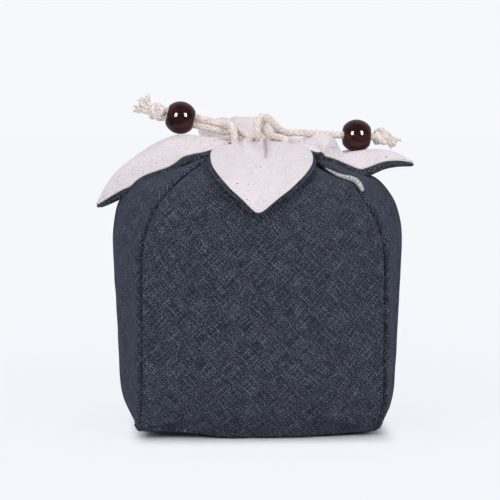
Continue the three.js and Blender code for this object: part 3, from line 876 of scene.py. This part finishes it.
# Lining
# Cream linen inside the walls, the base and the yokes. It shows in the open corner on the right, where its
# folded and frayed edge stands out beside the slate cloth.
cream_linen, tree, shader = woven_cloth(
    "cream_linen", 0.00052, math.radians(47),
    [(0.1, (0.60, 0.52, 0.52)), (0.5, (0.84, 0.765, 0.775)), (0.9, (0.94, 0.885, 0.895))],
    1.6, 0.00014, 0.92)
cream_base = shader.inputs["Base Color"].links[0].from_socket
fleck = math_of(tree, "GREATER_THAN", noise_of(tree, sized_coordinates(tree), 820.0, 0.0), 0.8)
flecked = shader_node(tree, "Mix", {0: fleck, 6: cream_base, 7: (0.16, 0.13, 0.14, 1)}, data_type="RGBA")
tree.links.new(flecked.outputs[2], shader.inputs["Base Color"])
shader.inputs["Sheen Weight"].default_value = 0.2
lining_cloth = 0.0008
lining_wall_depth = 0.0047
lining_yoke_depth = 0.0014
lining_foot = 0.0048
lining_rows = 100
lining_columns = np.linspace(-1, 1, 61)
for number, side in enumerate(quarter_turns):
    lining_slits = [slit + 0.0009 for slit in slits[side]]
    grid, places = side_grid(
        side, lining_columns, lining_rows, lining_wall_depth, lining_yoke_depth, lining_foot, lining_slits,
        yoke_edges[side])
    normals = outward_normals(grid)
    swell = 0.0003 * slow_noise(grid, 0.02, number + 60) - 0.0002
    outer = grid + normals * swell[:, :, None]
    outer[:, :, 2] += foot_lift(side, lining_columns)[None, :] * np.exp(-outer[:, :, 2] / foot_lift_fade)
    inner = outer - normals * lining_cloth
    lining = cloth_shell(
        f"{side}_side_lining", turned_to(side, outer), turned_to(side, inner), places, cream_linen)
    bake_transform(lining)
    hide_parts("lining_" + side, f"yoke_{side}_lining")
# The frayed edge of the cream lining is painted grey, with near-black between its fibres: real loose fibres,
# with painted shade of the slit that it lies in.
frayed_linen_in_shade, tree, shader = new_material("shaded_frayed_linen_edge", 1.0)
fibres = noise_of(tree, sized_coordinates(tree), 900.0, 4.0, 0.8)
paint(tree, shader, fibres, [(0.4, (0.10, 0.10, 0.11)), (0.5, (0.46, 0.45, 0.44)), (0.6, (0.84, 0.81, 0.78))])
roughen(tree, shader, fibres, 0.7, 0.0003)
fold_radius = 0.0014
fold_lowest = 0.1068
fold_nearest_mouth = 0.0290
folded_edge = side_column("right", -1, 0.0001, 0.0, 0.0003, 0.0, open_front_edge)
folded_edge = folded_edge[(folded_edge[:, 2] > fold_lowest) & (folded_edge[:, 1] < -fold_nearest_mouth)]
fold_rows = 60
folded_edge = turned_to("right", even_points(folded_edge, fold_rows))
share = np.linspace(0, 1, fold_rows)[:, None]
waves = 0.0002 * slow_noise(folded_edge, 0.006, 90)[:, None] * upwards
folded_edge = folded_edge + np.array((-0.0001, -0.0005, 0.0006)) + waves
sides, ups = frames_along(folded_edge)
turn = np.linspace(0, 2 * math.pi, 17)[None, :]
fullness = (1.15 - 0.75 * share) * np.sin(math.pi * np.clip(share, 0.02, 0.98)) ** 0.25
roll = folded_edge[:, None, :] + (
    sides[:, None, :] * (np.cos(turn) * fold_radius * fullness)[:, :, None]
    + ups[:, None, :] * (np.sin(turn) * fold_radius * fullness)[:, :, None])
core = folded_edge[:, None, :] + (roll - folded_edge[:, None, :]) * 0.3
places = np.stack([turn * 0.0012 + 0 * share, share * 0.045 + 0 * turn], axis=2)
fold = cloth_shell("open_corner_lining_fold", roll, core, places, frayed_linen_in_shade)
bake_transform(fold)
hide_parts("yoke_right_lining")
grid, places = base_grid(0.0058, 0.0044)
swell = 0.0004 * (1 + slow_noise(grid, 0.02, 70))
inner = grid + lining_cloth * upwards + swell[:, :, None] * upwards
base_lining = cloth_shell("base_lining_cloth", grid, inner, places, cream_linen)
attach(base_lining, "root")
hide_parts("lining_base")

# Drawcord sleeves
# Narrow tunnels of lining round the mouth, gathered along the cords that run in them.
sleeve_bore = 0.0034
sleeve_half_height = 0.0019
around = np.linspace(0, 2 * math.pi, 49)
for number, side in enumerate(quarter_turns):
    along = np.linspace(-sleeve_half_length, sleeve_half_length, 70)[:, None]
    turn = around[None, :]
    ruffle = 0.5 + 0.5 * np.sin(along / 0.0021 * 2 * math.pi + 1.3 * np.sin(2 * turn + number))
    ruffle = ruffle * (0.6 + 0.4 * np.cos(turn * 3 + number))
    walls = []
    for cloth in (0.0005 + 0.0004 * ruffle, 0 * ruffle):
        walls.append(np.stack([
            along + 0 * turn,
            -sleeve_axis_out + (sleeve_bore + cloth) * np.cos(turn),
            sleeve_axis_height + (sleeve_half_height + cloth) * np.sin(turn),
        ], axis=2))
    places = np.stack([along + 0 * turn, turn * sleeve_bore + 0 * along], axis=2)
    sleeve = cloth_shell(
        f"{side}_drawcord_sleeve", turned_to(side, walls[0]), turned_to(side, walls[1]), places, cream_linen)
    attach(sleeve, "sleeve_" + side)
    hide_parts("sleeve_" + side)

# Petals
# Four pointed flaps that fold out from the mouth, each of slate cloth below and cream linen above, sewn
# together round the edge and turned right side out, so that the slate shows as a thin rim.

# A petal's line runs from its root to its tip, as distances out and heights. Its outline gives half its width
# by share of the line. A crease is its place across the petal, its width, where along the line it starts and
# ends, and its depth. The slate layer starts at slate_from, and shows as a rim from rim_from on.
narrow_root = [(0, 0.0118), (0.06, 0.0152), (0.15, 0.0193), (0.28, 0.0225)]
towards_tip = [(0.4, 0.0212), (0.5, 0.0192), (0.6, 0.017), (0.7, 0.0146), (0.8, 0.0114), (0.9, 0.007),
               (0.96, 0.0038), (1, 0.0008)]
petal_shapes = {
    "front": {
        "line": [(0.0136, 0.1276), (0.0172, 0.1281), (0.025, 0.1268), (0.038, 0.1228), (0.050, 0.1181),
                 (0.0605, 0.1124), (0.0668, 0.1060), (0.0692, 0.0993)],
        "outline": [(0, 0.0185), (0.06, 0.0214), (0.15, 0.0225), (0.27, 0.0228), (0.4, 0.0224), (0.5, 0.0212),
                    (0.6, 0.0192), (0.7, 0.0166), (0.8, 0.0131), (0.9, 0.0076), (0.96, 0.0038), (1, 0.0008)],
        "lobe": 0.0008, "droop": 0.0022, "droop_start": 0.75, "root_droop": 0.0022,
        "shift": (0.0008, -0.0039), "band": 0.0006, "slate_from": 0.09, "rim_from": -1,
        "creases": [(-0.1, 0.08, -0.3, 0.3, 0.0030), (0.08, 0.022, -0.2, 0.46, 0.0046),
                    (-0.42, 0.035, 0.0, 0.27, 0.0022)],
    },
    "left": {
        "line": [(0.0132, 0.1282), (0.0172, 0.1288), (0.024, 0.1294), (0.036, 0.1306), (0.045, 0.1276),
                 (0.055, 0.1212), (0.065, 0.1134), (0.0742, 0.0993)],
        "outline": narrow_root + towards_tip,
        "lobe": 0.0024, "droop": 0.0115, "droop_start": 1.1, "root_droop": 0.0012,
        "shift": (0, 0), "band": 0.0019, "slate_from": 0.09, "rim_from": -1,
        "creases": [(0.45, 0.08, 0.0, 0.4, 0.0016), (0.15, 0.06, 0.0, 0.28, 0.0012),
                    (-0.3, 0.07, 0.0, 0.35, 0.001)],
    },
    "right": {
        "line": [(0.0132, 0.1282), (0.0172, 0.1284), (0.022, 0.128), (0.028, 0.1302), (0.0328, 0.1290),
                 (0.0358, 0.1236), (0.0385, 0.1212), (0.044, 0.1218), (0.056, 0.1234), (0.064, 0.1222),
                 (0.0726, 0.1188)],
        "outline": narrow_root + towards_tip,
        "lobe": 0.0036, "droop": 0.0066, "droop_start": 0.75, "root_droop": 0.002,
        "shift": (0, 0), "band": 0.0019, "slate_from": 0.03, "rim_from": -1,
        "creases": [(-0.3, 0.09, 0.0, 0.22, 0.0014), (0.3, 0.08, 0.0, 0.3, 0.0014)],
    },
    "back": {
        "line": [(0.0132, 0.1282), (0.0172, 0.1294), (0.0205, 0.1322), (0.0245, 0.1354), (0.0290, 0.1372),
                 (0.0335, 0.1366), (0.041, 0.1312), (0.051, 0.1222), (0.0605, 0.1136), (0.0668, 0.1056),
                 (0.0694, 0.098)],
        "outline": [(0, 0.0188), (0.06, 0.0212), (0.14, 0.0222), (0.24, 0.0222), (0.34, 0.0204),
                    (0.5, 0.0188), (0.6, 0.017), (0.7, 0.0146), (0.8, 0.0114), (0.9, 0.007), (1, 0.0008)],
        "lobe": 0.0008, "droop": 0.001, "droop_start": 1.0, "root_droop": 0.0,
        "shift": (0.004, -0.003), "band": 0.0006, "slate_from": 0.09, "rim_from": 0.36,
        "creases": [(-0.1, 0.09, -0.3, 0.3, 0.0014), (0.35, 0.06, 0.0, 0.36, 0.0013),
                    (-0.5, 0.06, 0.0, 0.3, 0.0009), (-1.05, 0.45, -0.3, 0.6, 0.0044)],
    },
}
petal_layer = 0.0008
petal_thick = 0.0019
above_yoke = 0.0022
lowest_yoke = 0.095
soft_contact = 0.0004
petal_rows = 84
petal_edge = 1 - 0.2 * np.linspace(0, 1, 13) ** 1.5
petal_columns = np.concatenate([-petal_edge, np.linspace(-0.8, 0.8, 51)[1:-1], petal_edge[::-1]])


def resting_on_cloth(grid, clear):
    """The points, lifted softly where they would lie lower than the given heights above the yokes."""
    clear = np.broadcast_to(clear, grid.shape[:2])
    for place in np.ndindex(clear.shape):
        x, y, z = grid[place]
        below = cloth_surface.ray_cast((x, y, 0.2), (0, 0, -1))[0]
        if below and below.z > lowest_yoke:
            above = (z - below.z - clear[place]) / soft_contact
            if above < 30:  # much higher than this, the point stays where it is
                grid[place][2] = below.z + clear[place] + soft_contact * math.log1p(math.exp(above))
    return grid


def petal_grid(side, depth, wider, begin, end, seed):
    """Rows from root to tip by columns across, some way below the flap's upper surface.

    v is a row's place along the petal, from 0 to 1, and u a point's place across it, from -1 to 1.
    """
    shape = petal_shapes[side]
    line_points = 400
    line = smooth_line([(0, -out, z) for out, z in shape["line"]], count=line_points)
    line = even_points(line[round(begin * line_points):round(end * line_points)], petal_rows)
    v = begin + (end - begin) * np.linspace(0, 1, petal_rows)[:, None]
    ahead = unit(np.gradient(line, axis=0))
    up = np.stack([0 * ahead[:, 0], ahead[:, 2], -ahead[:, 1]], axis=1)
    stretch = 40  # while the outline is smoothed, its half widths weigh like its shares of the line
    outline = smooth_line([(share, half * stretch, 0) for share, half in shape["outline"]], count=300)
    sewn_half = np.interp(v, outline[:, 0], outline[:, 1] / stretch)
    if wider > 0:
        wider = np.interp(v, (shape["rim_from"] - 0.08, shape["rim_from"]), (-0.0018, wider))
    across = petal_columns[None, :] * (sewn_half + wider)
    u = across / sewn_half
    swelling = np.sin(math.pi * v ** shape["droop_start"])
    lift = (shape["lobe"] * np.sin(math.pi * u) ** 2 - shape["droop"] * u * u) * swelling
    lift = lift - shape["root_droop"] * np.abs(u) ** 4 * np.clip(1 - v / 0.35, 0, 1)
    for place, width, first, last, deep in shape["creases"]:
        fade = np.clip((v - first) / 0.06, 0, 1) * np.clip((last - v) / 0.2, 0, 1)
        lift = lift - deep * fade * np.exp(-((u - place) / width) ** 2)
        lift = lift + 0.4 * deep * fade * (
            np.exp(-((u - place - 2.2 * width) / (1.6 * width)) ** 2)
            + np.exp(-((u - place + 2.2 * width) / (1.6 * width)) ** 2))
    lift = lift + 0.00035 * np.cos(u * 15 + seed) * np.clip(1 - v / 0.28, 0, 1) - depth
    grid = line[:, None, :] + up[:, None, :] * lift[:, :, None]
    grid[:, :, 0] += across + shape["shift"][0] + shape["shift"][1] * v * v
    grid[:, :, 2] += 0.0007 * slow_noise(grid, 0.011, seed) * np.sin(math.pi * v) * (1 - petal_columns ** 4)
    grid = resting_on_cloth(turned_to(side, grid), above_yoke - depth)
    length = np.linalg.norm(np.diff(line, axis=0), axis=1).sum() / (end - begin)
    places = np.stack([across, v * length + 0 * across], axis=2)
    return grid, places


rows = np.linspace(0, 1, petal_rows)[:, None]
near_edge = np.maximum(np.abs(petal_columns[None, :]) ** 6, rows ** 12)
for number, (side, shape) in enumerate(petal_shapes.items()):
    band = shape["band"] * near_edge * (1 - 0.85 * rows ** 8)
    layers = (
        ("lining", -0.0003, 0.0, petal_layer, 0.0, 0.99, cream_linen, "cream_lining"),
        ("outer", 0.0009, petal_layer + 0.0001, petal_thick, shape["slate_from"], 1.0,
         slate_cloth, "slate_cloth"),
    )
    for layer, wider, top_depth, under_depth, begin, end, material, slot_name in layers:
        lower = band if layer == "outer" else 0 * band
        upper, places = petal_grid(side, top_depth, wider, begin, end, number)
        under, _ = petal_grid(side, under_depth + lower, wider, begin, end, number)
        flap = cloth_shell(
            f"{side}_petal_{layer}_cloth", upper, under, places, material,
            under_depth - top_depth + float(lower.max()))
        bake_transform(flap)
        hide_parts(f"petal_{side}_{layer}")

# Floor and light
# A pale floor that runs into a pale background, two tall soft lights in front and one above. The floor
# keeps the bag's shadow. Two more lights stand for the windows that the beads mirror, and show in gloss only.
bpy.context.scene.view_settings.view_transform = "Standard"
floor_mesh = bpy.data.meshes.new("floor")
floor_mesh.from_pydata([(-4, -2, 0), (4, -2, 0), (4, 6, 0), (-4, 6, 0)], [], [(0, 1, 2, 3)])
floor = bpy.data.objects.new("floor", floor_mesh)
bpy.context.scene.collection.objects.link(floor)
floor_paint, tree, shader = new_material("pale_floor", 0.9)
shader.inputs["Base Color"].default_value = (0.92, 0.93, 0.97, 1)
shader.inputs["Specular IOR Level"].default_value = 0.0
rays = shader_node(tree, "LightPath")
seen_directly = math_of(tree, "MAXIMUM", rays.outputs["Is Camera Ray"], math_of(
    tree, "MAXIMUM", rays.outputs["Is Glossy Ray"], rays.outputs["Is Transmission Ray"]))
past_foot = shader_node(tree, "TexCoord").outputs["Object"]
for operation, vector in (
    ("ABSOLUTE", (0, 0, 0)),
    ("SUBTRACT", (0.050, 0.054, 0)),
    ("MAXIMUM", (0, 0, 0)),
    ("MULTIPLY", (2.2, 1, 1)),
):
    past_foot = shader_node(tree, "VectorMath", {0: past_foot, 1: vector}, operation=operation).outputs[0]
from_bag = shader_node(tree, "VectorMath", {0: past_foot}, operation="LENGTH").outputs["Value"]


def smooth_rise(tree, value, start, end, low, high):
    """A share that goes smoothly from low to high as the value goes from start to end."""
    return shader_node(tree, "MapRange", {
        "Value": value, "From Min": start, "From Max": end, "To Min": low, "To Max": high,
    }, interpolation_type="SMOOTHSTEP").outputs["Result"]


near_share = smooth_rise(tree, from_bag, 0.001, 0.022, 0.0, 0.88)
far_share = smooth_rise(tree, from_bag, 0.05, 0.6, 0.0, 0.12)
plain_share = math_of(tree, "MULTIPLY", math_of(tree, "ADD", near_share, far_share), seen_directly)
background = shader_node(tree, "Emission", {"Color": (0.925, 0.932, 0.972, 1)})
floor_mix = shader_node(tree, "MixShader", {0: plain_share, 1: shader.outputs[0], 2: background.outputs[0]})
tree.links.new(floor_mix.outputs[0], tree.nodes["Material Output"].inputs["Surface"])
floor_mesh.materials.append(floor_paint)
floor.visible_glossy = False

world = bpy.data.worlds.new("pale_room")
bpy.context.scene.world = world
world.use_nodes = True
tree = world.node_tree
tree.nodes.clear()
rays = shader_node(tree, "LightPath")
direction = shader_node(tree, "TexCoord").outputs["Generated"]
towards_back = shader_node(tree, "SeparateXYZ", {0: direction}).outputs[1]
behind = smooth_rise(tree, towards_back, -0.2, 0.5, 0.12, 0.5)
mirrored = math_of(tree, "MULTIPLY", behind, math_of(
    tree, "MAXIMUM", rays.outputs["Is Glossy Ray"], rays.outputs["Is Transmission Ray"]))
seen_share = math_of(tree, "MAXIMUM", rays.outputs["Is Camera Ray"], mirrored)
room_light = shader_node(tree, "Background", {"Color": (0.80, 0.83, 0.92, 1), "Strength": 0.50})
dark_room = shader_node(tree, "Background", {"Color": (0.80, 0.83, 0.92, 1), "Strength": 0.06})
backdrop = shader_node(tree, "Background", {"Color": (0.935, 0.938, 0.975, 1), "Strength": 1.0})
unlit = shader_node(tree, "MixShader", {
    0: rays.outputs["Is Glossy Ray"], 1: room_light.outputs[0], 2: dark_room.outputs[0]})
both = shader_node(tree, "MixShader", {0: seen_share, 1: unlit.outputs[0], 2: backdrop.outputs[0]})
shader_node(tree, "OutputWorld", {"Surface": both.outputs[0]})


def soft_light(name, place, aim, size, power, colour, in_gloss=False):
    """A rectangular light. One that shows in gloss lights nothing else."""
    data = bpy.data.lights.new(name, "AREA")
    data.shape = "RECTANGLE"
    data.size, data.size_y = size
    data.energy = power
    data.color = colour
    lamp = bpy.data.objects.new(name, data)
    bpy.context.scene.collection.objects.link(lamp)
    lamp.location = place
    lamp.rotation_euler = (Vector(aim) - Vector(place)).to_track_quat("-Z", "Y").to_euler()
    lamp.visible_glossy = in_gloss
    lamp.visible_diffuse = not in_gloss


soft_light("left_window", (-0.78, -0.88, 0.60), (0, 0, 0.09), (0.34, 0.60), 5.0, (1.0, 0.98, 0.97))
soft_light("right_window", (0.83, -0.85, 0.58), (0, 0, 0.09), (0.34, 0.60), 4.6, (1.0, 0.98, 0.97))
soft_light("overhead", (0.0, 0.15, 1.25), (0, 0, 0.08), (1.1, 1.1), 5.0, (1.0, 0.99, 1.0))
soft_light("left_glint", (-0.62, -0.88, 0.52), (0, 0, 0.13), (0.34, 0.50), 22, (1, 1, 1), in_gloss=True)
soft_light("right_glint", (0.64, -0.86, 0.52), (0, 0, 0.13), (0.34, 0.50), 22, (1, 1, 1), in_gloss=True)
